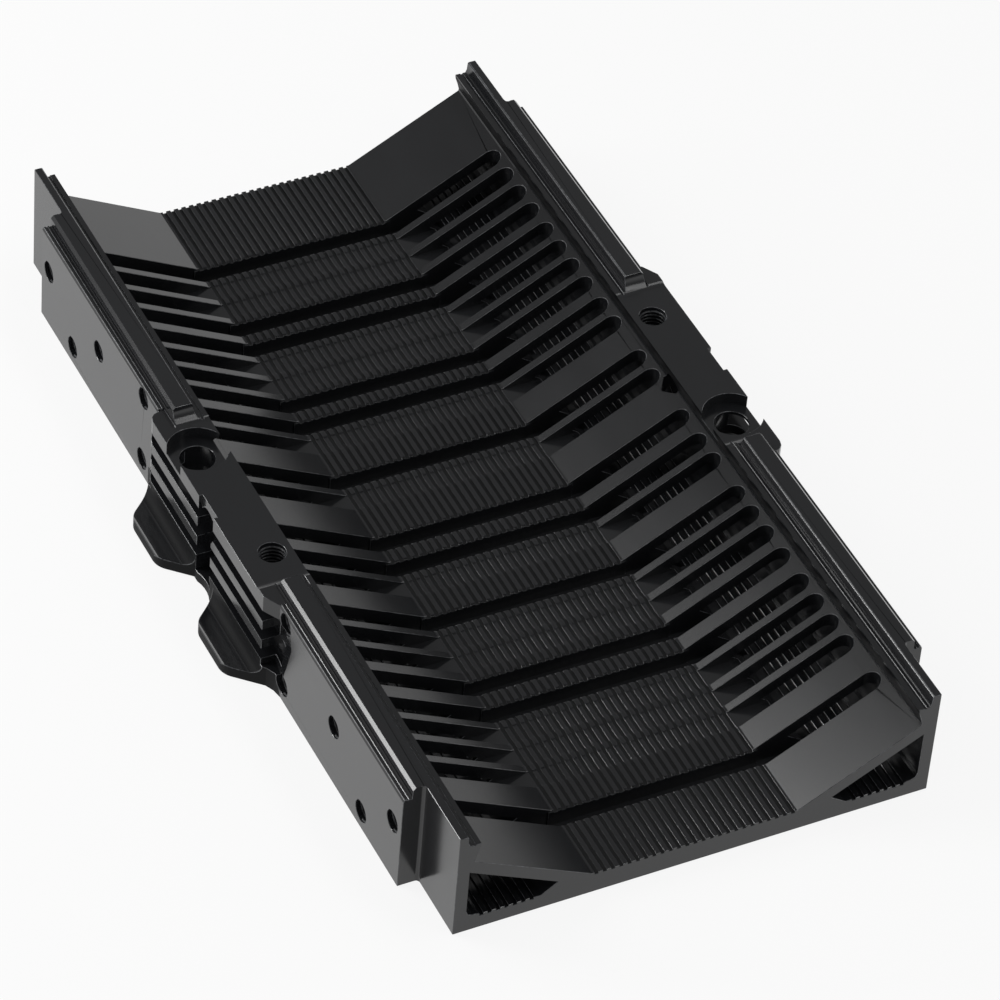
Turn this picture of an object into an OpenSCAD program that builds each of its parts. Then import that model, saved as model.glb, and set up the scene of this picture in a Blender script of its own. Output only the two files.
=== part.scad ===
// Pin fin heat sink: one extruded and milled aluminium tray.
// Origin at the middle of the underside, length along Y, +Z up. Millimetres.

/* [Body] */
// Overall length along Y
length = 183.6; // [160:0.2:220]
// Width across the bare end walls
body_width = 90; // [88:0.5:100]
// Height of the rail tops above the underside
height = 22.7; // [21:0.1:26]
// Extra thickness of the side pads outside the end walls
pad_thick = 3.9; // [3.2:0.1:5]
// Length of bare wall left at each end, beyond the side pads
bare_end = 13.4; // [6:0.2:18]
// Drop from the rail top to the outer ledge of a side pad
ledge_drop = 2.2; // [1.6:0.1:2.8]
// Width of the rail top between the side pads
rail_width = 3.3; // [2.8:0.1:3.4]

/* [Tray] */
// Width of the flat ribbed floor
floor_width = 38.8; // [32:0.2:42]
// Height of the ribbed floor above the underside
floor_top = 4.5; // [4.2:0.1:5.4]
// Drop from the rail top to the head of the sloped plates
slope_drop = 6.4; // [5.8:0.1:7.4]
// Thickness of the sloped plates
plate_thick = 2.5; // [1.8:0.1:3]
// Thickness of the outer wall beside each tunnel
wall_thick = 2.3; // [1.8:0.1:2.6]
// Thickness of the base under each tunnel
base_thick = 3.4; // [2.8:0.1:3.8]
// Pitch of the fine lengthwise grooves in the floor and tunnels
groove_pitch = 1.55; // [1.4:0.05:2.4]
// Depth of the fine lengthwise grooves
groove_depth = 0.4; // [0.2:0.05:0.6]

/* [Cross slots] */
// Width of the slots milled across the sloped plates
slot_width = 4; // [3:0.1:4.4]
// Pitch of neighbouring slots inside a group
slot_pitch = 5.5; // [5:0.1:5.6]
// Depth the shallow slots score into the floor ribs
score_depth = 0.2; // [0.1:0.05:0.3]
// Width of the deep channels across the floor
channel_width = 3.4; // [2.4:0.1:3.8]
// Thickness left under the deep channels
channel_web = 1.2; // [0.8:0.1:2.4]

/* [Side ears] */
// How far each ear stands out from its side pad
ear_reach = 1.8; // [1:0.1:2.6]
// Length of the milled flat on top of an ear
ear_flat = 41.6; // [39:0.2:46]
// Height of the cooling slots in the side of an ear
ear_slot = 2.4; // [1.6:0.1:3]
// Depth of the cooling slots, from the face of the ear
ear_slot_depth = 3.5; // [2.8:0.1:3.9]
// How far the base lobes stand out from the ears
lobe_reach = 5.2; // [3:0.1:8]
// Thickness of the base lobes at their rims
lobe_thick = 2.2; // [1.4:0.1:3]

/* [Holes] */
// Bore of the clearance hole in each ear
ear_bore = 6.4; // [5.4:0.1:6.6]
// Diameter of the shallow seat around the clearance hole
seat_width = 11; // [9:0.2:12]
// Depth of the shallow seat
seat_depth = 2.3; // [1:0.1:2.4]
// Bore of the blind screw hole in each ear
screw_bore = 5; // [4:0.1:5.4]
// Depth of the blind screw hole
screw_depth = 6; // [4:0.2:6]
// Bore of the screw holes in the side faces
side_bore = 4.2; // [3.2:0.1:4.4]
// Depth of the screw holes in the side faces
side_bore_depth = 5; // [3:0.2:5.2]

/* [Hidden] */
$fn = 40;
e = 0.01;
black = [0.1, 0.1, 0.11];

half_l = length / 2;
wall_x = body_width / 2;             // outer face of the bare end walls
pad_x = wall_x + pad_thick;          // outer face of the side pads
ear_x = pad_x + ear_reach;           // outer face of the ears
pad_y = half_l - bare_end;           // end of the side pads
ledge_z = height - ledge_drop;
ear_z = ledge_z - 0.35;              // milled flat on top of an ear
rail_in = wall_x - 1.6;              // inner edge of the rail top
rail_out = rail_in + rail_width;     // outer edge of the rail top
lip_x = wall_x - 3.2;
lip_z = height - slope_drop;
foot_x = floor_width / 2;
rise = (lip_z - floor_top) / (lip_x - foot_x);
tunnel_x = wall_x - wall_thick;      // outer wall of a tunnel
roof_drop = plate_thick * sqrt(1 + rise * rise);
rail_foot = rail_out + 0.6;          // the rail's outer side leans out to its foot
line_depth = 0.2;                    // fine lines along the ledges
inner_z = ledge_z - 0.1;             // inner ledge
inner_x = lip_x - 0.8;               // inner edge of that ledge
toe_z = base_thick - groove_depth;   // tunnel floor at its inner side
toe_x = foot_x + 10.5;
step_x = foot_x + 0.6;               // the deep channels widen from here to the toes
tip_z = floor_top + 0.6;
tip_x = foot_x + (tip_z + roof_drop - floor_top) / rise;
gw = groove_pitch * 0.45;            // width of one fine groove
n_floor = floor(foot_x / groove_pitch - 0.5);
n_tunnel = floor((tunnel_x - 1.9 - toe_x) / groove_pitch);
stretch = length / 183.6;            // keeps rows and ears in proportion

// deep channels, each with the number of shallow slots that follow it
rows = [[0.394, 2], [0.304, 0], [0.271, 2], [0.181, 0], [0.1465, 1], [0.06155, 1],
        [-0.0325, 0], [-0.0697, 1], [-0.1503, 2], [-0.244, 0], [-0.282, 3], [-0.425, 0]];
fillet = 2.6;                        // corner left by the cutter at each rail end
flat_far = ear_flat * 0.465;         // far and near ends of the ear flat
flat_near = -ear_flat * 0.535;
ear_far = flat_far + 3.8;            // far and near ends of the ear's outer side
ear_near = flat_near - 3.3;
hole_gap = 5.44;                     // from an ear's near end to the first side holes
bore_y = rows[5][0] * length + 2;    // the clearance hole stands just past a deep channel
bore_x = wall_x + 1.1;
screw_y = -15.7;
screw_x = wall_x - 0.3;
gap_y = -0.5;                        // middle and half width of the upright gap
gap_r = 2.9;
gap_z = ledge_z - 5;                 // middle of the gap's round head
drill_y = -1.7;                      // cross hole that meets the head of the slope
drill_r = 2.5;
drill_z = lip_z - 0.9;
root_z = 4.3;                        // height of the lobes where they meet the ear
scoop_x = pad_x + 13.6;              // axis of the cutter that sweeps into the pad
scoop_z = ledge_z - 3.9;
lobe_mid = [-15.7, 13.35];
lobe_half = 12.3;                    // half length of a lobe where it meets the pad
lobe_r = 4;                          // round corners of a lobe
waist_r = 7.4;                       // hollow curve between the two lobes

// screw holes in each side face: [distance from mid length, height]
first_hole = hole_gap - ear_near;
side_holes = [[first_hole, 3.6], [63.4 * stretch, 3.6], [51.4 * stretch, 12.4],
              [75 * stretch, 12.4], [first_hole, ledge_z - 2.5]];

function groove(x, top) = [[x - gw / 2, top], [x - gw / 2, top - groove_depth],
                           [x + gw / 2, top - groove_depth], [x + gw / 2, top]];
function flip(pts) = [for (i = [len(pts) - 1 : -1 : 0]) [-pts[i][0], pts[i][1]]];

// round stretch of an outline, from angle a to angle b about c
function arc(c, r, a, b, n = 6) = [for (i = [0 : n]) let (t = a + (b - a) * i / n)
                                   c + r * [cos(t), sin(t)]];

// inner half of the rail, from the rail top down to the foot of the slope
rail_pts = [[rail_in + 0.2, height], [rail_in, height - 0.2], [rail_in - 0.1, inner_z + 0.7],
            [rail_in - 0.4, inner_z], [inner_x + 1.4, inner_z], [inner_x + 1.4, inner_z - line_depth],
            [inner_x + 1, inner_z - line_depth], [inner_x + 1, inner_z], [inner_x + 0.2, inner_z],
            [inner_x, inner_z - 0.2], [inner_x + 0.1, inner_z - 1], [lip_x - 0.2, lip_z + 1.6],
            [lip_x + 0.1, lip_z + 0.4], [lip_x, lip_z], [foot_x, floor_top]];
// outer half of the rail, with two fine lines along the ledge
pad_pts = [[pad_x, 0], [pad_x, ledge_z - 0.5], [pad_x - 0.45, ledge_z], [pad_x - 0.7, ledge_z],
           [pad_x - 0.7, ledge_z - line_depth], [pad_x - 0.95, ledge_z - line_depth],
           [pad_x - 0.95, ledge_z], [rail_foot + 0.3, ledge_z],
           [rail_foot + 0.3, ledge_z - line_depth], [rail_foot, ledge_z - line_depth],
           [rail_out, height]];
floor_pts = [for (i = [n_floor : -1 : -n_floor]) each [for (j = [3 : -1 : 0])
             groove(i * groove_pitch, floor_top)[j]]];
tunnel_pts = concat(
    [[tip_x, tip_z], [toe_x - 1, toe_z]],
    [for (i = [0 : n_tunnel - 1]) each groove(toe_x + (i + 0.4) * groove_pitch, toe_z + 0.1)],
    [[toe_x + n_tunnel * groove_pitch, base_thick], [tunnel_x - 1.2, base_thick],
     [tunnel_x - 0.35, base_thick + 0.35], [tunnel_x, base_thick + 1.2],
     [tunnel_x, floor_top + (tunnel_x - foot_x) * rise - roof_drop]]);

module section() {
    difference() {
        polygon(concat(pad_pts, rail_pts, floor_pts, flip(rail_pts), flip(pad_pts)));
        polygon(tunnel_pts);
        mirror([1, 0]) polygon(tunnel_pts);
    }
}

module along_y(len) {
    translate([0, len / 2, 0]) rotate([90, 0, 0]) linear_extrude(len) children();
}

// both sides, the second turned half a turn about the middle
module both_sides() {
    children();
    rotate([0, 0, 180]) children();
}

// plan of one ear, left side, with its near end reaching to near_y at the pad
module ear_plan(near_y) {
    polygon([[-pad_x + 1, near_y], [-pad_x, near_y], [-ear_x, ear_near],
             [-ear_x, ear_far - 0.5], [-ear_x + 0.3, ear_far + 0.6], [-pad_x - 0.8, ear_far + 1.3],
             [-pad_x, ear_far + 1.6], [-pad_x + 1, ear_far + 1.6]]);
}

// plan of a base lobe about y = c, with round corners and sloping flanks
module lobe_plan(c) {
    half = lobe_half - (lobe_reach + ear_reach) * 0.95 - lobe_r * tan(22.5);
    rim = -ear_x - lobe_reach + lobe_r;
    root = [[-pad_x - 1.2, lobe_half - 1.2], [-pad_x - 0.4, lobe_half + 0.4],
            [-pad_x, lobe_half + 2.4], [-pad_x + 1, lobe_half + 2.4]];
    polygon(concat([for (i = [3 : -1 : 0]) [root[i][0], c + root[i][1]]],
                   arc([rim, c + half], lobe_r, 135, 180), arc([rim, c - half], lobe_r, 180, 225),
                   [for (q = root) [q[0], c - q[1]]]));
}

// ear and base lobes added to the left pad
module ear() {
    translate([0, 0, ledge_z - 3.4]) linear_extrude(3.4) ear_plan(ear_near - 3);
    linear_extrude(ledge_z - 3.3) ear_plan(ear_near);
    intersection() {
        linear_extrude(root_z) for (c = lobe_mid) lobe_plan(c);
        along_y(length) polygon(concat(
            [[-pad_x + 0.5, 0], [-pad_x + 0.5, root_z]],
            arc([-ear_x - root_z + lobe_thick, root_z], root_z - lobe_thick, 0, -90),
            arc([-ear_x - lobe_reach + 0.7, lobe_thick - 0.7], 0.7, 90, 180, 4),
            [[-ear_x - lobe_reach, 0]]));
    }
}

// flat milled across the rail on top of the ear, with a round corner at each end
module ear_top_cut() {
    w = ear_x - lip_x + 3;
    translate([-ear_x - 1, flat_near, ear_z]) cube([w, ear_flat, 8]);
    translate([-ear_x - 1, flat_near - fillet, ear_z + fillet])
        cube([w, ear_flat + 2 * fillet, 8]);
    for (y = [flat_near, flat_far])
        translate([-ear_x - 1, y, ear_z + fillet]) rotate([0, 90, 0]) cylinder(h = w, r = fillet);
    translate([-ear_x - 1, 0, ear_z]) cube([ear_x - rail_foot + 0.7, ear_far + 1.8, 8]);
}

// cooling slots, the upright gap between them, the notch above it and the scoop at their end
module ear_side_cut() {
    deep = 1 + ear_slot_depth;
    slot_end = ear_far - 0.4;
    for (i = [0 : 2]) translate([-ear_x - 1, 0, ledge_z - 4.6 - i * 4.5]) {
        translate([0, ear_near - 3, -ear_slot / 2]) cube([deep, slot_end - ear_near + 3, ear_slot]);
        translate([0, slot_end, 0]) rotate([0, 90, 0]) cylinder(h = deep, d = ear_slot);
    }
    translate([-ear_x - 1, gap_y - gap_r, lobe_thick]) cube([deep, 2 * gap_r, gap_z - lobe_thick]);
    translate([-ear_x - 1, gap_y, gap_z]) rotate([0, 90, 0]) cylinder(h = deep, r = gap_r);
    translate([-ear_x - 1, gap_y - 3.6, gap_z]) cube([1.7, 6.2, 9]);
    translate([-ear_x - waist_r + 0.5, (lobe_mid[0] + lobe_mid[1]) / 2, -e])
        cylinder(h = root_z + e, r = waist_r, $fn = 60);
    intersection() {
        translate([-scoop_x, ear_near, 0]) rotate_extrude($fn = 120)
            polygon([[0, root_z], [14.5, root_z], [15.9, scoop_z - 2.4], [15.3, scoop_z - 1],
                     [14, scoop_z], [0, scoop_z]]);
        translate([-pad_x - 5, ear_near - 12, 0]) cube([9, 12, height]);
    }
}

// holes of one side, left
module side_drilling() {
    translate([-bore_x, bore_y, -e]) cylinder(h = height + 1, d = ear_bore);
    translate([-bore_x, bore_y, ear_z - seat_depth]) cylinder(h = 5, d = seat_width, $fn = 60);
    translate([-screw_x, screw_y, ear_z - screw_depth]) cylinder(h = 9, d = screw_bore);
    translate([-ear_x - 1, drill_y, drill_z]) rotate([0, 90, 0])
        cylinder(h = ear_x - lip_x + 1.4, r = drill_r);
    translate([-lip_x + 0.4 - e, drill_y, drill_z]) rotate([0, 90, 0])
        cylinder(h = 1.6, r1 = drill_r, r2 = 0);
    for (h = side_holes, s = [-1, 1])
        translate([-pad_x - 3, s * h[0], h[1]]) rotate([0, 90, 0])
            cylinder(h = side_bore_depth + 3, d = side_bore, $fn = 28);
}

// end walls bared outside the pads, left near end
module bare_wall_cut() {
    r = 0.7;
    x = -wall_x - r;
    translate([0, 0, -e]) linear_extrude(height + 1) {
        translate([-pad_x - 1, -half_l - 1]) square([pad_x + 1 + x, half_l + 1 - pad_y]);
        translate([-pad_x - 1, -half_l - 1]) square([pad_x + 1 - wall_x, half_l + 1 - pad_y - r]);
        translate([x, -pad_y - r]) circle(r);
    }
}

// slot with round ends across the whole tray, cut down to height z
module cross_slot(y, z) {
    reach = lip_x - 0.5 - slot_width / 2;
    translate([0, y, z]) linear_extrude(height) {
        square([2 * reach, slot_width], center = true);
        for (s = [-1, 1]) translate([s * reach, 0]) circle(d = slot_width);
    }
}

module cross_cuts() {
    for (r = rows) {
        y = r[0] * length;
        cross_slot(y, floor_top - score_depth);
        translate([-step_x - 1, y - channel_width / 2, channel_web])
            cube([2 * step_x + 2, channel_width, height]);
        for (x = [-toe_x, step_x])
            translate([x, y - slot_width / 2, channel_web])
                cube([toe_x - step_x, slot_width, height]);
        for (k = [1 : 1 : r[1]])
            cross_slot(y - k * slot_pitch * stretch, floor_top - score_depth);
    }
}

module heat_sink() {
    color(black) difference() {
        union() {
            along_y(length) section();
            both_sides() ear();
        }
        both_sides() {
            ear_top_cut();
            ear_side_cut();
            side_drilling();
            bare_wall_cut();
            mirror([0, 1, 0]) bare_wall_cut();
        }
        cross_cuts();
    }
}

heat_sink();
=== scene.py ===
"""Dresses the milled heat sink tray.

It breaks the sharp edges, gives the metal its black anodised finish, adds the screw threads and
sets up a soft studio.
"""

import math
from contextlib import contextmanager

import bmesh
import bpy
from bpy.props import FloatProperty, FloatVectorProperty, IntProperty, PointerProperty
from mathutils import Matrix, Vector


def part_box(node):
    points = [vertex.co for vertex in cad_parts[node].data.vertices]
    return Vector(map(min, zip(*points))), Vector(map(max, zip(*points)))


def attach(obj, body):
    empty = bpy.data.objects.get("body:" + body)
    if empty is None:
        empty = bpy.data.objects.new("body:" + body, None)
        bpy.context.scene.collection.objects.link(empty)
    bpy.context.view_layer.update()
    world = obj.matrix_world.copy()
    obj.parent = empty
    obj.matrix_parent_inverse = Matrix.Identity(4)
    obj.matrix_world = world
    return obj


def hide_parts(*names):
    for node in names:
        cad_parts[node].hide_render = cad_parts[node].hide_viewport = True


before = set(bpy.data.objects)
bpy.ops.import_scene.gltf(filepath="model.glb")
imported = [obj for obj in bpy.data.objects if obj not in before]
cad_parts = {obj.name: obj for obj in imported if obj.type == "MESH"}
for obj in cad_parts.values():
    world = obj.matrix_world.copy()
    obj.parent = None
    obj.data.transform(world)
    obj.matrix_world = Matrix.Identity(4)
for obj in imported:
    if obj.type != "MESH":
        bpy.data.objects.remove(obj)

bl_info = {
    "name": "Heat Sink Tray",
    "version": (1, 0, 0),
    "blender": (4, 5, 0),
    "location": "3D View > Sidebar > Heat Sink",
    "description": "Builds the anodised heat sink tray and its studio",
    "category": "Object",
}

MM = 0.001
NODE = "heat_sink"
BOX_LOW, BOX_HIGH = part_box(NODE)

# screw holes of a side face: distance from mid length and height
SIDE_HOLES = tuple((along * MM, up * MM) for along, up in (
    (31.0, 3.6), (63.4, 3.6), (51.4, 12.4), (75.0, 12.4), (31.0, 18.0)))
# the side pads' outer face, from mid width
SIDE_FACE = 48.9 * MM
# blind screw hole on an ear's flat, left side
EAR_SCREW = (-44.7 * MM, -15.7 * MM, 20.15 * MM)
# depth of the first thread below the face that a hole starts in
THREAD_START = 0.5 * MM

# a rail starts outside the first distance from mid width, its outer top edge outside the second
RAIL_IN, RAIL_OUT = 43.0 * MM, 46.0 * MM
# corners of a rail's outer face, x and z: its top, the shoulder under a slanted flat, its foot
RAIL_TOP = (46.7 * MM, BOX_HIGH.z)
RAIL_SHOULDER = (47.22 * MM, 22.15 * MM)
RAIL_FOOT = (47.3 * MM, 20.3 * MM)
# the upper edge of the side pads' broken corner, x and z, and how far it is moved outwards
PAD_EDGE, PAD_SHIFT = (48.45 * MM, 20.5 * MM), 0.22 * MM
# the inner edge of the ledge inside a rail, over the hollow lip: x and z
LIP_EDGE = (41.0 * MM, 20.4 * MM)
# the part of the lip that is run straight past the slots: half its height, and the slots' bite
LIP_BAND, LIP_BITE = 0.45 * MM, 0.35 * MM
# the lip's edges that stay sharp: this near to its inner edge, and above this height
LIP_NEAR, LIP_LOW = 0.32 * MM, 18.5 * MM
# the lip's hollow lies between these distances outside its inner edge
HOLLOW_IN, HOLLOW_OUT = -0.05 * MM, 0.95 * MM
# the grooved floor between the slopes: half its width, its top, and the bottom of its grooves
FLOOR_HALF, FLOOR_TOP, GROOVE_FLOOR = 20.6 * MM, 4.5 * MM, 4.1 * MM
# edges down to this far below the floor's top belong to its grooves
GROOVE_REACH = 1 * MM
# the ears' base lobes: their thickness, and half the ears' length
LOBE_TOP, EAR_HALF = 2.2 * MM, 30.0 * MM
# the hollow curve over the lobes: its reach from the side face, and its upper end
FOOT_REACH, FOOT_TOP = 3.2 * MM, 5.7 * MM

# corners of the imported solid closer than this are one
WELD = 0.002 * MM
# faces that turn by less than this are one flat face
FLAT = math.radians(0.6)
# how near a corner lies to an edge, a groove's bottom or a rail's outer face that it belongs to
AT_EDGE, AT_BOTTOM, AT_FACE = 0.01 * MM, 0.02 * MM, 0.03 * MM
# how near the cutting plane a corner is taken to lie on it
AT_CUT = 0.001 * MM
# limits on a part of a face's normal: square along an axis, leaning down, sideways, upright
SQUARE_ON, DOWNWARD, SIDEWAYS, UPRIGHT = 0.9, -0.05, 0.2, 0.5

# the body's materials, in the order of its material slots
ANODISED, EDGE_HIGHLIGHT, HOLLOW, GROOVE = range(4)

# noise cells in a metre along X, Y and Z
FINE_LINES, DRAG_MARKS = (6500, 14, 6500), (700, 5, 700)
CLOUDS, GRAIN = (45, 18, 45), (9000, 9000, 9000)
STREAKS, NICKS = (400, 90, 400), (2600, 1500, 2600)

# half the side of the studio's floor, and the gap that keeps it clear of the part's underside
STAGE_HALF, STAGE_GAP = 4.0, 0.02 * MM
# name, place, facing, direction of its second side, size, radiance
LAMPS = (
    # mirrored by the right-hand slopes
    ("side_window", (-0.341, 0.271, 0.374), (0.357, -0.6425, -0.678), (0.139, -0.681, 0.719),
     (0.3, 0.36), 3.5),
    # mirrored by the slanted flat on the left rail
    ("low_strip", (-0.42, 0.236, 0.193), (0.698, -0.6425, -0.319), (0, 0, 1), (0.15, 0.09), 12.0),
    # light from above, for the broken edges and the soft shadow
    ("overhead", (0.357, -0.25, 0.90), (-0.357, 0.25, -0.90), (0, 0.966, 0.257), (0.22, 0.78), 3.6),
)
# brightness of the sky: height above the horizon, from 0 to 1, and grey level
SKY_LOW, SKY_MIDDLE, SKY_HIGH = (0.10, 1.0), (0.5, 0.28), (0.95, 0.3)


# ---------------------------------------------------------------- settings


class FinishSettings(bpy.types.PropertyGroup):
    """Sizes and colours of the anodised body."""

    edge_break: FloatProperty(
        name="Edge break", description="Width of the small flat on every sharp edge",
        default=0.085 * MM, min=0.0, max=1 * MM, unit="LENGTH", precision=5)
    groove_break: FloatProperty(
        name="Groove break", description="Width of the small flat along the floor's grooves",
        default=0.025 * MM, min=0.0, max=1 * MM, unit="LENGTH", precision=5)
    edge_angle: FloatProperty(
        name="Edge angle", description="Edges that turn by more than this are broken",
        default=math.radians(32), min=0.0, max=math.pi, subtype="ANGLE")
    smooth_angle: FloatProperty(
        name="Smooth angle", description="Faces that turn by less than this are shaded as one",
        default=math.radians(20), min=0.0, max=math.pi, subtype="ANGLE")
    anodise: FloatVectorProperty(
        name="Anodise", description="Colour of the black dyed surface",
        default=(0.0095, 0.0100, 0.0112), subtype="COLOR", min=0.0, max=1.0)
    # pale colour: a painted highlight on the broken edges, and the bare metal of cut threads
    edge_sheen_and_bare: FloatVectorProperty(
        name="Painted edge highlight", description="Pale colour: painted highlight on broken edges, bare metal on cut threads",
        default=(0.16, 0.165, 0.175), subtype="COLOR", min=0.0, max=1.0)
    roughness: FloatProperty(
        name="Roughness", description="Roughness of the satin surface",
        default=0.18, min=0.0, max=1.0)


class ThreadSettings(bpy.types.PropertyGroup):
    """Threads in the blind screw holes."""

    side_bore: FloatProperty(
        name="Side bore", description="Radius of the holes in the side faces",
        default=2.1 * MM, min=0.5 * MM, unit="LENGTH", precision=5)
    ear_bore: FloatProperty(
        name="Ear bore", description="Radius of the screw holes on the ears",
        default=2.5 * MM, min=0.5 * MM, unit="LENGTH", precision=5)
    pitch: FloatProperty(
        name="Pitch", description="Rise of the thread in one turn",
        default=0.8 * MM, min=0.2 * MM, unit="LENGTH", precision=5)
    crest: FloatProperty(
        name="Crest", description="Height of the thread above the bore's wall",
        default=0.24 * MM, min=0.0, unit="LENGTH", precision=5)
    turns: IntProperty(
        name="Turns", description="Full turns of thread in each hole", default=5, min=1, max=12)


class StageSettings(bpy.types.PropertyGroup):
    """The camera, the lamps and the floor."""

    lens: FloatProperty(
        name="Lens", description="Focal length in millimetres on a 36 mm sensor", default=200.34)
    distance: FloatProperty(
        name="Distance", description="From the camera to the origin of the part",
        default=996.63 * MM, unit="LENGTH")
    azimuth: FloatProperty(
        name="Azimuth", description="Camera direction round the part",
        default=math.radians(-29.048), subtype="ANGLE")
    elevation: FloatProperty(
        name="Elevation", description="Camera height above the horizon",
        default=math.radians(42.7), subtype="ANGLE")
    roll: FloatProperty(
        name="Roll", description="Camera roll about its line of sight",
        default=math.radians(5.035), subtype="ANGLE")
    aside: FloatVectorProperty(
        name="Aside", description="Camera offset to its right and upward",
        default=(7.0404 * MM, 2.5714 * MM), size=2, subtype="XYZ", unit="LENGTH")
    floor_colour: FloatVectorProperty(
        name="Floor", description="Colour of the floor", default=(0.85, 0.85, 0.85),
        subtype="COLOR", min=0.0, max=1.0)
    floor_glow: FloatProperty(
        name="Floor glow",
        description="Share of plain white in the floor, the rest takes the shadow",
        default=0.88, min=0.0, max=1.0)


# ---------------------------------------------------------------- node helpers


def math_node(tree, operation, first, second=None, clamp=False):
    """The output of a Math node; each input is a socket to link or a number to set."""
    node = tree.nodes.new("ShaderNodeMath")
    node.operation = operation
    node.use_clamp = clamp
    for socket, value in zip(node.inputs, (first, second)):
        if value is None:
            continue
        if isinstance(value, bpy.types.NodeSocket):
            tree.links.new(value, socket)
        else:
            socket.default_value = value
    return node.outputs[0]


def new_group(name, inputs, outputs):
    """A shader node group with named float inputs and typed outputs."""
    group = bpy.data.node_groups.new(name, "ShaderNodeTree")
    for label, value in inputs:
        socket = group.interface.new_socket(label, in_out="INPUT", socket_type="NodeSocketFloat")
        socket.default_value = value
    for label, kind in outputs:
        group.interface.new_socket(label, in_out="OUTPUT", socket_type=kind)
    return group, group.nodes.new("NodeGroupInput"), group.nodes.new("NodeGroupOutput")


def noise(tree, cells, detail=2.0, roughness=0.5):
    """Noise with the given number of cells in a metre along each axis of the object."""
    node = tree.nodes.new("ShaderNodeTexNoise")
    node.inputs["Scale"].default_value = 1.0
    node.inputs["Detail"].default_value = detail
    node.inputs["Roughness"].default_value = roughness
    coords = tree.nodes.new("ShaderNodeTexCoord")
    mapping = tree.nodes.new("ShaderNodeMapping")
    mapping.inputs["Scale"].default_value = cells
    tree.links.new(coords.outputs["Object"], mapping.inputs["Vector"])
    tree.links.new(mapping.outputs["Vector"], node.inputs["Vector"])
    return node.outputs["Fac"]


# ---------------------------------------------------------------- shared effects


def drawn_lines_group():
    """Fine lines that extrusion leaves along the length, with a few deeper drag marks."""
    tree, given, out = new_group(
        "Drawn lines", (("Fine", 0.6), ("Marks", 0.5)), (("Height", "NodeSocketFloat"),))
    fine = noise(tree, FINE_LINES, 3.0, 0.65)
    broad = noise(tree, DRAG_MARKS)
    ramp = tree.nodes.new("ShaderNodeValToRGB")
    ramp.color_ramp.elements[0].position = 0.60
    ramp.color_ramp.elements[1].position = 0.72
    tree.links.new(broad, ramp.inputs["Fac"])
    lines = math_node(tree, "MULTIPLY", fine, given.outputs["Fine"])
    marks = math_node(tree, "MULTIPLY", ramp.outputs["Color"], given.outputs["Marks"])
    tree.links.new(math_node(tree, "SUBTRACT", lines, marks), out.inputs["Height"])
    return tree


def patina_group():
    """Slow changes of gloss from handling, with fine bead-blast grain."""
    tree, given, out = new_group(
        "Satin patina", (("Level", 0.3), ("Spread", 0.1)),
        (("Roughness", "NodeSocketFloat"), ("Cloud", "NodeSocketFloat")))
    cloud = noise(tree, CLOUDS, 4.0, 0.6)
    grain = noise(tree, GRAIN, 1.0)
    share = 0.35
    grained = math_node(tree, "ADD", cloud, math_node(tree, "MULTIPLY", grain, share))
    swing = math_node(tree, "SUBTRACT", grained, (1 + share) / 2)
    level = math_node(tree, "MULTIPLY_ADD", swing, given.outputs["Spread"])
    tree.links.new(given.outputs["Level"], level.node.inputs[2])
    tree.links.new(level, out.inputs["Roughness"])
    tree.links.new(cloud, out.inputs["Cloud"])
    return tree


def sheen_and_wear_group():
    """A mask of long streaks broken up by small nicks: painted highlight on broken edges, bare
    metal on cut threads.
    """
    tree, given, out = new_group(
        "Edge sheen and thread wear", (("Amount", 0.5),), (("Mask", "NodeSocketFloat"),))
    streak = noise(tree, STREAKS, 3.0, 0.6)
    nick = noise(tree, NICKS, 2.0, 0.6)
    both = math_node(tree, "MULTIPLY", streak, math_node(tree, "MULTIPLY", nick, 4.0))
    over = math_node(tree, "SUBTRACT", both, 0.55)
    mask = math_node(tree, "MULTIPLY", over, given.outputs["Amount"], clamp=True)
    tree.links.new(mask, out.inputs["Mask"])
    return tree


# ---------------------------------------------------------------- materials


def new_material(name, base, roughness):
    """A material with one Principled BSDF, and its node tree."""
    mat = bpy.data.materials.new(name)
    mat.use_nodes = True
    bsdf = mat.node_tree.nodes["Principled BSDF"]
    bsdf.inputs["Base Color"].default_value = (*base, 1.0)
    bsdf.inputs["Roughness"].default_value = roughness
    return mat, mat.node_tree, bsdf


def place_group(tree, group, **values):
    """One use of a shared group, with its own values."""
    node = tree.nodes.new("ShaderNodeGroup")
    node.node_tree = group
    for key, value in values.items():
        node.inputs[key].default_value = value
    return node


def tint(tree, bsdf, first, second, factor):
    """Base colour that runs from the first colour to the second with the factor."""
    mix = tree.nodes.new("ShaderNodeMix")
    mix.data_type = "RGBA"
    mix.inputs["A"].default_value = (*first, 1.0)
    mix.inputs["B"].default_value = (*second, 1.0)
    tree.links.new(factor, mix.inputs["Factor"])
    tree.links.new(mix.outputs["Result"], bsdf.inputs["Base Color"])


def bump(tree, bsdf, height, strength, distance):
    """Shallow relief from a height that changes over the surface."""
    node = tree.nodes.new("ShaderNodeBump")
    node.inputs["Strength"].default_value = strength
    node.inputs["Distance"].default_value = distance
    tree.links.new(height, node.inputs["Height"])
    tree.links.new(node.outputs["Normal"], bsdf.inputs["Normal"])


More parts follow.
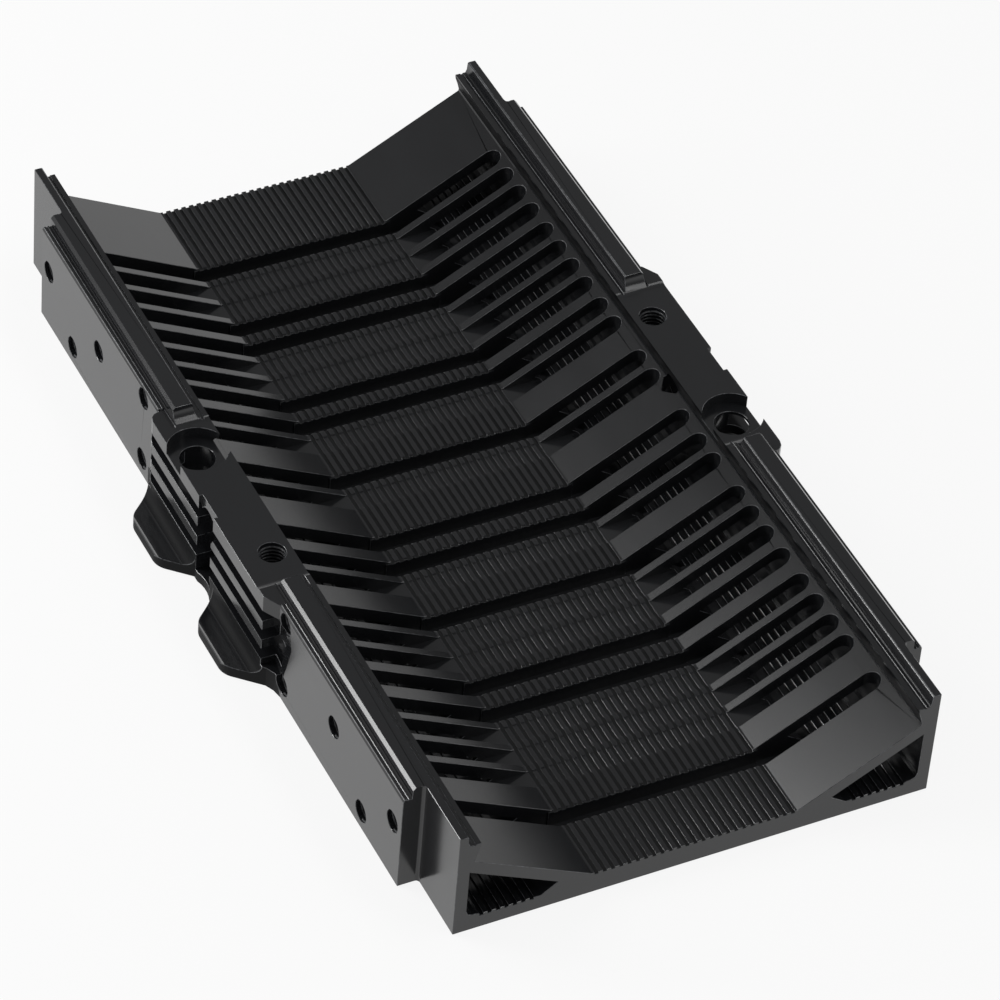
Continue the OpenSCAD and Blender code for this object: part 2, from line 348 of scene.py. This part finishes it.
def anodised_material(finish, groups):
    """Black dyed oxide over extruded aluminium, satin, drawn along the length."""
    mat, tree, bsdf = new_material("Black anodise", finish.anodise, finish.roughness)
    patina = place_group(tree, groups["patina"], Level=finish.roughness, Spread=0.16)
    lines = place_group(tree, groups["lines"], Fine=0.55, Marks=0.35)
    darker = tuple(0.85 * value for value in finish.anodise)
    lighter = tuple(1.2 * value for value in finish.anodise)
    tint(tree, bsdf, darker, lighter, patina.outputs["Cloud"])
    tree.links.new(patina.outputs["Roughness"], bsdf.inputs["Roughness"])
    bump(tree, bsdf, lines.outputs["Height"], 0.35, 0.006 * MM)
    bsdf.inputs["IOR"].default_value = 1.52
    return mat


def sheen_and_wear_material(name, finish, groups, amount, gloss=0.5):
    """The same black on a broken edge or a cut thread, paler where the mask is high: a painted
    highlight on a broken edge, bare metal on a cut thread.
    """
    mat, tree, bsdf = new_material(name, finish.anodise, finish.roughness)
    patina = place_group(tree, groups["patina"], Level=finish.roughness + 0.04, Spread=0.2)
    sheen_and_wear = place_group(tree, groups["sheen_and_wear"], Amount=amount)
    # paler by the mask: painted highlight on broken edges, bare metal on cut threads
    tint(tree, bsdf, finish.anodise, finish.edge_sheen_and_bare, sheen_and_wear.outputs["Mask"])
    tree.links.new(patina.outputs["Roughness"], bsdf.inputs["Roughness"])
    bsdf.inputs["IOR"].default_value = 1.55
    bsdf.inputs["Specular IOR Level"].default_value = gloss
    return mat


def dull_shaded_material(name, finish, groups, roughness, gloss):
    """Dull black at half the anodise's colour, a painted shade, for the hollows and the bottoms of
    the grooves.
    """
    # half the anodise's colour: painted shade in the hollows and groove bottoms
    shaded = tuple(0.5 * value for value in finish.anodise)
    mat, tree, bsdf = new_material(name, shaded, roughness)
    patina = place_group(tree, groups["patina"], Level=roughness, Spread=0.3)
    tree.links.new(patina.outputs["Roughness"], bsdf.inputs["Roughness"])
    bump(tree, bsdf, patina.outputs["Cloud"], 0.3, 0.01 * MM)
    bsdf.inputs["Specular IOR Level"].default_value = gloss
    return mat


GROUPS = {}


def shared_groups():
    """The shader groups, built once."""
    makers = (("lines", drawn_lines_group), ("patina", patina_group), ("sheen_and_wear", sheen_and_wear_group))
    for key, maker in makers:
        if key not in GROUPS:
            GROUPS[key] = maker()
    return GROUPS


# ---------------------------------------------------------------- body


def link(obj):
    """Put an object in the scene, and hand it back."""
    bpy.context.scene.collection.objects.link(obj)
    return obj


@contextmanager
def edited(mesh):
    """A mesh opened for editing, and written back at the end."""
    bm = bmesh.new()
    bm.from_mesh(mesh)
    yield bm
    bm.to_mesh(mesh)
    bm.free()


def apply_modifiers(obj):
    """Put the finished mesh in place of an object's mesh and modifiers."""
    depsgraph = bpy.context.evaluated_depsgraph_get()
    done = bpy.data.meshes.new_from_object(obj.evaluated_get(depsgraph))
    obj.modifiers.clear()
    obj.data = done


def split_in_triangles(bm):
    """Cut every face into triangles that are as even as they can be."""
    bmesh.ops.triangulate(bm, faces=bm.faces, quad_method="BEAUTY", ngon_method="BEAUTY")


def merged_copy(node):
    """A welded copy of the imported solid, with flat areas joined into single faces."""
    bm = bmesh.new()
    bm.from_mesh(node.data)
    bmesh.ops.remove_doubles(bm, verts=bm.verts, dist=WELD)
    bmesh.ops.dissolve_degenerate(bm, edges=bm.edges, dist=WELD)
    bmesh.ops.dissolve_limit(
        bm, angle_limit=FLAT, verts=bm.verts, edges=bm.edges, delimit=set())
    split_in_triangles(bm)
    mesh = bpy.data.meshes.new("tray_body")
    bm.to_mesh(mesh)
    bm.free()
    return mesh


def break_edges(mesh, finish):
    """Give each sharp outward edge its bevel, narrower on the fine grooves of the floor."""
    share = finish.groove_break / finish.edge_break
    with edited(mesh) as bm:
        layer = bm.edges.layers.float.new("bevel_weight_edge")
        for edge in bm.edges:
            if len(edge.link_faces) != 2 or not edge.is_convex:
                continue
            if edge.calc_face_angle(0.0) < finish.edge_angle:
                continue
            middle = (edge.verts[0].co + edge.verts[1].co) / 2
            out, up = abs(middle.x), middle.z
            on_rail = out > RAIL_OUT and up > RAIL_SHOULDER[1] - AT_EDGE
            on_lip = abs(out - LIP_EDGE[0]) < LIP_NEAR and up > LIP_LOW
            if on_rail or on_lip:
                continue
            grooved = out < FLOOR_HALF and up > FLOOR_TOP - GROOVE_REACH
            edge[layer] = share if grooved else 1.0


def between(first, second, up):
    """Distance from mid width at a height on the line that joins two corners of the section."""
    share = (up - first[1]) / (second[1] - first[1])
    return first[0] + share * (second[0] - first[0])


def shape_rails(mesh):
    """Stand each rail's outer face upright under a slanted flat.

    The upper part of the lip inside the rail is run straight past the ends of the slots, and the
    side pads' broken corner is made narrower.
    """
    with edited(mesh) as bm:
        for side in (-1, 1):
            near = [face for face in bm.faces
                    if all(side * vertex.co.x > RAIL_IN for vertex in face.verts)]
            geometry = near + list({item for face in near for item in (*face.edges, *face.verts)})
            bmesh.ops.bisect_plane(
                bm, geom=geometry, dist=AT_CUT, plane_co=(0, 0, RAIL_SHOULDER[1]),
                plane_no=(0, 0, 1))
        for vertex in bm.verts:
            out, up = abs(vertex.co.x), vertex.co.z
            if abs(out - between(RAIL_TOP, RAIL_FOOT, up)) < AT_FACE and up > RAIL_FOOT[1]:
                upper = up > RAIL_SHOULDER[1]
                out = between(RAIL_TOP if upper else RAIL_SHOULDER,
                              RAIL_SHOULDER if upper else RAIL_FOOT, up)
            elif abs(up - LIP_EDGE[1]) < LIP_BAND and 0 < out - LIP_EDGE[0] < LIP_BITE:
                out = LIP_EDGE[0]
            elif abs(up - PAD_EDGE[1]) < AT_EDGE and abs(out - PAD_EDGE[0]) < AT_EDGE:
                out += PAD_SHIFT
            vertex.co.x = math.copysign(out, vertex.co.x)
        split_in_triangles(bm)


def sharp_tree(angle):
    """Shade every face smooth and mark the edges that turn more than the angle as sharp."""
    tree = bpy.data.node_groups.new("Sharp by angle", "GeometryNodeTree")
    tree.interface.new_socket("Geometry", in_out="INPUT", socket_type="NodeSocketGeometry")
    tree.interface.new_socket("Geometry", in_out="OUTPUT", socket_type="NodeSocketGeometry")
    nodes, links = tree.nodes, tree.links
    given, out = nodes.new("NodeGroupInput"), nodes.new("NodeGroupOutput")
    faces = nodes.new("GeometryNodeSetShadeSmooth")
    faces.domain = "FACE"
    turn = nodes.new("GeometryNodeInputMeshEdgeAngle")
    limit = nodes.new("FunctionNodeCompare")
    limit.operation = "LESS_THAN"
    limit.inputs["B"].default_value = angle
    edges = nodes.new("GeometryNodeSetShadeSmooth")
    edges.domain = "EDGE"
    links.new(given.outputs[0], faces.inputs["Geometry"])
    links.new(faces.outputs["Geometry"], edges.inputs["Geometry"])
    links.new(turn.outputs["Unsigned Angle"], limit.inputs["A"])
    links.new(limit.outputs["Result"], edges.inputs["Shade Smooth"])
    links.new(edges.outputs["Geometry"], out.inputs[0])
    return tree


def shade_by_area(obj, angle):
    """Smooth shading that lets the wide faces decide, and stays sharp above the angle."""
    smooth = obj.modifiers.new("sharp", "NODES")
    smooth.node_group = sharp_tree(angle)
    weighted = obj.modifiers.new("normals", "WEIGHTED_NORMAL")
    weighted.keep_sharp = True
    weighted.weight = 100
    weighted.mode = "FACE_AREA"


def finish_index(polygon):
    """The material of a face.

    Hollows are the underside of a rail's inner lip and the foot and rims of the ears' lobes.
    """
    out, up, normal = abs(polygon.center.x), polygon.center.z, polygon.normal
    lip = (HOLLOW_IN < out - LIP_EDGE[0] < HOLLOW_OUT and normal.z < DOWNWARD
           and abs(normal.x) > SQUARE_ON)
    beside_ear = abs(polygon.center.y) < EAR_HALF
    foot = (0 < out - SIDE_FACE < FOOT_REACH and LOBE_TOP < up < FOOT_TOP
            and beside_ear and abs(normal.x) > SIDEWAYS)
    rim = out > SIDE_FACE and up < LOBE_TOP and beside_ear and abs(normal.z) < UPRIGHT
    # hollows and groove bottoms take the darker dull material: painted shade
    if lip or foot or rim:
        return HOLLOW
    if out < FLOOR_HALF and abs(up - GROOVE_FLOOR) < AT_BOTTOM and normal.z > SQUARE_ON:
        return GROOVE
    return ANODISED


def build_body(finish, materials):
    """The body, with its rails shaped, its edges broken and a material on every face."""
    mesh = merged_copy(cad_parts[NODE])
    shape_rails(mesh)
    break_edges(mesh, finish)
    mesh.materials.clear()
    for material in materials:
        mesh.materials.append(material)
    for polygon in mesh.polygons:
        polygon.material_index = finish_index(polygon)
    body = link(bpy.data.objects.new("tray_body", mesh))
    bevel = body.modifiers.new("edges", "BEVEL")
    bevel.limit_method = "WEIGHT"
    bevel.width = finish.edge_break
    bevel.segments = 1
    bevel.use_clamp_overlap = False
    bevel.miter_outer = "MITER_SHARP"
    # the bevel faces take the pale material, a painted highlight along the broken edges
    bevel.material = EDGE_HIGHLIGHT
    shade_by_area(body, finish.smooth_angle)
    apply_modifiers(body)
    return body


# ---------------------------------------------------------------- threads


def thread_tree(material):
    """A helical ridge on every given point, running along that point's own direction."""
    tree = bpy.data.node_groups.new("Screw thread", "GeometryNodeTree")
    ports = tree.interface
    ports.new_socket("Geometry", in_out="INPUT", socket_type="NodeSocketGeometry")
    sizes = {
        label: ports.new_socket(label, in_out="INPUT", socket_type="NodeSocketFloat").identifier
        for label in ("Radius", "Pitch", "Crest", "Turns")}
    ports.new_socket("Geometry", in_out="OUTPUT", socket_type="NodeSocketGeometry")
    nodes, links = tree.nodes, tree.links
    given, out = nodes.new("NodeGroupInput"), nodes.new("NodeGroupOutput")
    spiral = nodes.new("GeometryNodeCurveSpiral")
    spiral.inputs["Resolution"].default_value = 28
    links.new(given.outputs["Turns"], spiral.inputs["Rotations"])
    for name in ("Start Radius", "End Radius"):
        links.new(given.outputs["Radius"], spiral.inputs[name])
    rise = nodes.new("ShaderNodeMath")
    rise.operation = "MULTIPLY"
    links.new(given.outputs["Pitch"], rise.inputs[0])
    links.new(given.outputs["Turns"], rise.inputs[1])
    links.new(rise.outputs[0], spiral.inputs["Height"])
    ridge = nodes.new("GeometryNodeCurvePrimitiveCircle")
    ridge.inputs["Resolution"].default_value = 6
    links.new(given.outputs["Crest"], ridge.inputs["Radius"])
    sweep = nodes.new("GeometryNodeCurveToMesh")
    sweep.inputs["Fill Caps"].default_value = True
    links.new(spiral.outputs["Curve"], sweep.inputs["Curve"])
    links.new(ridge.outputs["Curve"], sweep.inputs["Profile Curve"])
    way = nodes.new("GeometryNodeInputNamedAttribute")
    way.data_type = "FLOAT_VECTOR"
    way.inputs["Name"].default_value = "way"
    aim = nodes.new("FunctionNodeAlignRotationToVector")
    aim.axis = "Z"
    links.new(way.outputs["Attribute"], aim.inputs["Vector"])
    copies = nodes.new("GeometryNodeInstanceOnPoints")
    links.new(given.outputs["Geometry"], copies.inputs["Points"])
    links.new(sweep.outputs["Mesh"], copies.inputs["Instance"])
    links.new(aim.outputs["Rotation"], copies.inputs["Rotation"])
    real = nodes.new("GeometryNodeRealizeInstances")
    links.new(copies.outputs["Instances"], real.inputs["Geometry"])
    paint = nodes.new("GeometryNodeSetMaterial")
    paint.inputs["Material"].default_value = material
    links.new(real.outputs["Geometry"], paint.inputs["Geometry"])
    links.new(paint.outputs["Geometry"], out.inputs["Geometry"])
    return tree, sizes


def threads(name, holes, tree, sizes, values):
    """One piece that holds the thread of every hole in the list of (place, direction inward)."""
    seed = bpy.data.meshes.new(name + "_seed")
    seed.from_pydata([place for place, _ in holes], [], [])
    way = seed.attributes.new("way", "FLOAT_VECTOR", "POINT")
    for item, (_, inward) in zip(way.data, holes):
        item.vector = inward
    obj = link(bpy.data.objects.new(name, seed))
    modifier = obj.modifiers.new("thread", "NODES")
    modifier.node_group = tree
    for label, value in values.items():
        modifier[sizes[label]] = float(value)
    apply_modifiers(obj)
    for polygon in obj.data.polygons:
        polygon.use_smooth = True
    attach(obj, "root")


def side_hole_list():
    """Place of the first thread and direction inward, for every hole in the side faces."""
    return [((side * (SIDE_FACE - THREAD_START), end * along, up), (-side, 0, 0))
            for side in (-1, 1) for along, up in SIDE_HOLES for end in (-1, 1)]


def ear_hole_list():
    """The same for the blind hole of each ear, the second turned half a turn about Z."""
    x, y, z = EAR_SCREW
    return [((side * x, side * y, z - THREAD_START), (0, 0, -1)) for side in (1, -1)]


# ---------------------------------------------------------------- operators


class HEATSINK_OT_body(bpy.types.Operator):
    """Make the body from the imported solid, with its sharp edges broken and its anodised finish"""

    bl_idname = "heatsink.body"
    bl_label = "Body"

    def execute(self, context):
        finish = context.scene.heatsink_finish
        groups = shared_groups()
        body = build_body(finish, (
            anodised_material(finish, groups),
            # pale broken edges: painted highlight
            sheen_and_wear_material("Painted edge highlight", finish, groups, amount=0.8),
            # darker hollows and groove bottoms: painted shade
            dull_shaded_material("Dull hollow, painted shade", finish, groups, roughness=0.55, gloss=0.12),
            dull_shaded_material("Groove bottom", finish, groups, roughness=0.35, gloss=0.27)))
        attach(body, "root")
        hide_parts(NODE)
        return {"FINISHED"}


class HEATSINK_OT_threads(bpy.types.Operator):
    """Cut the threads in the side holes and in the blind holes of the ears"""

    bl_idname = "heatsink.threads"
    bl_label = "Threads"

    def execute(self, context):
        sizes = context.scene.heatsink_thread
        material = sheen_and_wear_material(
            "Cut thread", context.scene.heatsink_finish, shared_groups(), amount=0.5, gloss=0.2)
        tree, sockets = thread_tree(material)
        shared = {"Pitch": sizes.pitch, "Crest": sizes.crest, "Turns": sizes.turns}
        threads("side_threads", side_hole_list(), tree, sockets,
                {"Radius": sizes.side_bore, **shared})
        threads("ear_threads", ear_hole_list(), tree, sockets,
                {"Radius": sizes.ear_bore, **shared})
        return {"FINISHED"}


class HEATSINK_OT_stage(bpy.types.Operator):
    """Set the floor, the soft lamps and the camera"""

    bl_idname = "heatsink.stage"
    bl_label = "Stage"

    def execute(self, context):
        stage = context.scene.heatsink_stage
        make_floor(stage)
        for lamp in LAMPS:
            soft_lamp(*lamp)
        make_camera(context.scene, stage)
        make_world(context.scene)
        context.scene.view_settings.view_transform = "Standard"
        return {"FINISHED"}


# ---------------------------------------------------------------- stage


def seen_directly(tree):
    """1 for camera, glossy and transmission rays, else 0."""
    path = tree.nodes.new("ShaderNodeLightPath")
    first = math_node(tree, "MAXIMUM", path.outputs["Is Camera Ray"], path.outputs["Is Glossy Ray"])
    return math_node(tree, "MAXIMUM", first, path.outputs["Is Transmission Ray"])


def make_floor(stage):
    """A wide floor that looks almost white and still takes the part's shadow."""
    mesh = bpy.data.meshes.new("floor")
    corners = [(x * STAGE_HALF, y * STAGE_HALF, 0)
               for x, y in ((-1, -1), (1, -1), (1, 1), (-1, 1))]
    mesh.from_pydata(corners, [], [(0, 1, 2, 3)])
    floor = link(bpy.data.objects.new("floor", mesh))
    floor.location.z = BOX_LOW.z - STAGE_GAP
    mat, tree, bsdf = new_material("Floor", stage.floor_colour, 0.9)
    bsdf.inputs["Specular IOR Level"].default_value = 0.0
    glow = tree.nodes.new("ShaderNodeEmission")
    glow.inputs["Color"].default_value = (1, 1, 1, 1)
    mix = tree.nodes.new("ShaderNodeMixShader")
    share = math_node(tree, "MULTIPLY", seen_directly(tree), stage.floor_glow)
    tree.links.new(share, mix.inputs["Fac"])
    tree.links.new(bsdf.outputs[0], mix.inputs[1])
    tree.links.new(glow.outputs[0], mix.inputs[2])
    tree.links.new(mix.outputs[0], tree.nodes["Material Output"].inputs["Surface"])
    mesh.materials.append(mat)


def turned(place, right, up, back):
    """The matrix of an object at a place, with its own axes along the three directions."""
    return Matrix.Translation(place) @ Matrix((right, up, back)).transposed().to_4x4()


def soft_lamp(name, place, facing, up, size, radiance):
    """A rectangular soft lamp of the given radiance, turned so that its second side follows up."""
    data = bpy.data.lights.new(name, "AREA")
    data.shape = "RECTANGLE"
    data.size, data.size_y = size
    data.energy = radiance * math.pi * size[0] * size[1]
    lamp = link(bpy.data.objects.new(name, data))
    lamp.visible_camera = False
    back = -Vector(facing).normalized()
    side = Vector(up).cross(back).normalized()
    lamp.matrix_world = turned(place, side, back.cross(side), back)


def make_camera(scene, stage):
    """Camera on a turned line of sight, moved aside by a few millimetres and rolled."""
    az, el, roll = stage.azimuth, stage.elevation, stage.roll
    back = Vector((math.sin(az) * math.cos(el), -math.cos(az) * math.cos(el), math.sin(el)))
    right = Vector((0, 0, 1)).cross(back).normalized()
    up = back.cross(right)
    right, up = (math.cos(roll) * right + math.sin(roll) * up,
                 math.cos(roll) * up - math.sin(roll) * right)
    data = bpy.data.cameras.new("camera")
    data.lens = stage.lens
    data.sensor_width = 36.0
    data.clip_start, data.clip_end = 0.05, 20
    camera = link(bpy.data.objects.new("camera", data))
    place = back * stage.distance + right * stage.aside[0] + up * stage.aside[1]
    camera.matrix_world = turned(place, right, up, back)
    scene.camera = camera


def make_world(scene):
    """White all round at the horizon, dimmer overhead, and plain white behind the part."""
    world = bpy.data.worlds.new("studio")
    world.use_nodes = True
    tree = world.node_tree
    nodes, links = tree.nodes, tree.links
    coords = nodes.new("ShaderNodeTexCoord")
    split = nodes.new("ShaderNodeSeparateXYZ")
    links.new(coords.outputs["Generated"], split.inputs[0])
    ramp = nodes.new("ShaderNodeValToRGB")
    stops = ramp.color_ramp.elements
    for stop, (height, grey) in zip(stops, (SKY_LOW, SKY_HIGH)):
        stop.position, stop.color = height, (grey, grey, grey, 1)
    height, grey = SKY_MIDDLE
    stops.new(height).color = (grey, grey, grey, 1)
    links.new(split.outputs["Z"], ramp.inputs["Fac"])
    sky = nodes["Background"]
    links.new(ramp.outputs["Color"], sky.inputs["Color"])
    white = nodes.new("ShaderNodeBackground")
    path = nodes.new("ShaderNodeLightPath")
    mix = nodes.new("ShaderNodeMixShader")
    links.new(path.outputs["Is Camera Ray"], mix.inputs["Fac"])
    links.new(sky.outputs[0], mix.inputs[1])
    links.new(white.outputs[0], mix.inputs[2])
    links.new(mix.outputs[0], nodes["World Output"].inputs["Surface"])
    scene.world = world


# ---------------------------------------------------------------- panel and registration


class HEATSINK_PT_panel(bpy.types.Panel):
    """Sidebar panel with the sizes and the steps"""

    bl_label = "Heat Sink"
    bl_idname = "HEATSINK_PT_panel"
    bl_space_type = "VIEW_3D"
    bl_region_type = "UI"
    bl_category = "Heat Sink"

    def draw(self, context):
        layout = self.layout
        scene = context.scene
        for settings in (scene.heatsink_finish, scene.heatsink_thread, scene.heatsink_stage):
            box = layout.box()
            for name in settings.__annotations__:
                box.prop(settings, name)
        for operator in STEPS:
            layout.operator(operator.bl_idname)


STEPS = (HEATSINK_OT_stage, HEATSINK_OT_body, HEATSINK_OT_threads)
CLASSES = (FinishSettings, ThreadSettings, StageSettings, *STEPS, HEATSINK_PT_panel)


def register():
    for cls in CLASSES:
        bpy.utils.register_class(cls)
    bpy.types.Scene.heatsink_finish = PointerProperty(type=FinishSettings)
    bpy.types.Scene.heatsink_thread = PointerProperty(type=ThreadSettings)
    bpy.types.Scene.heatsink_stage = PointerProperty(type=StageSettings)


def unregister():
    del bpy.types.Scene.heatsink_stage
    del bpy.types.Scene.heatsink_thread
    del bpy.types.Scene.heatsink_finish
    for cls in reversed(CLASSES):
        bpy.utils.unregister_class(cls)


def main():
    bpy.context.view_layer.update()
    register()
    bpy.ops.heatsink.stage()
    bpy.ops.heatsink.body()
    bpy.ops.heatsink.threads()


if __name__ == "__main__":
    main()
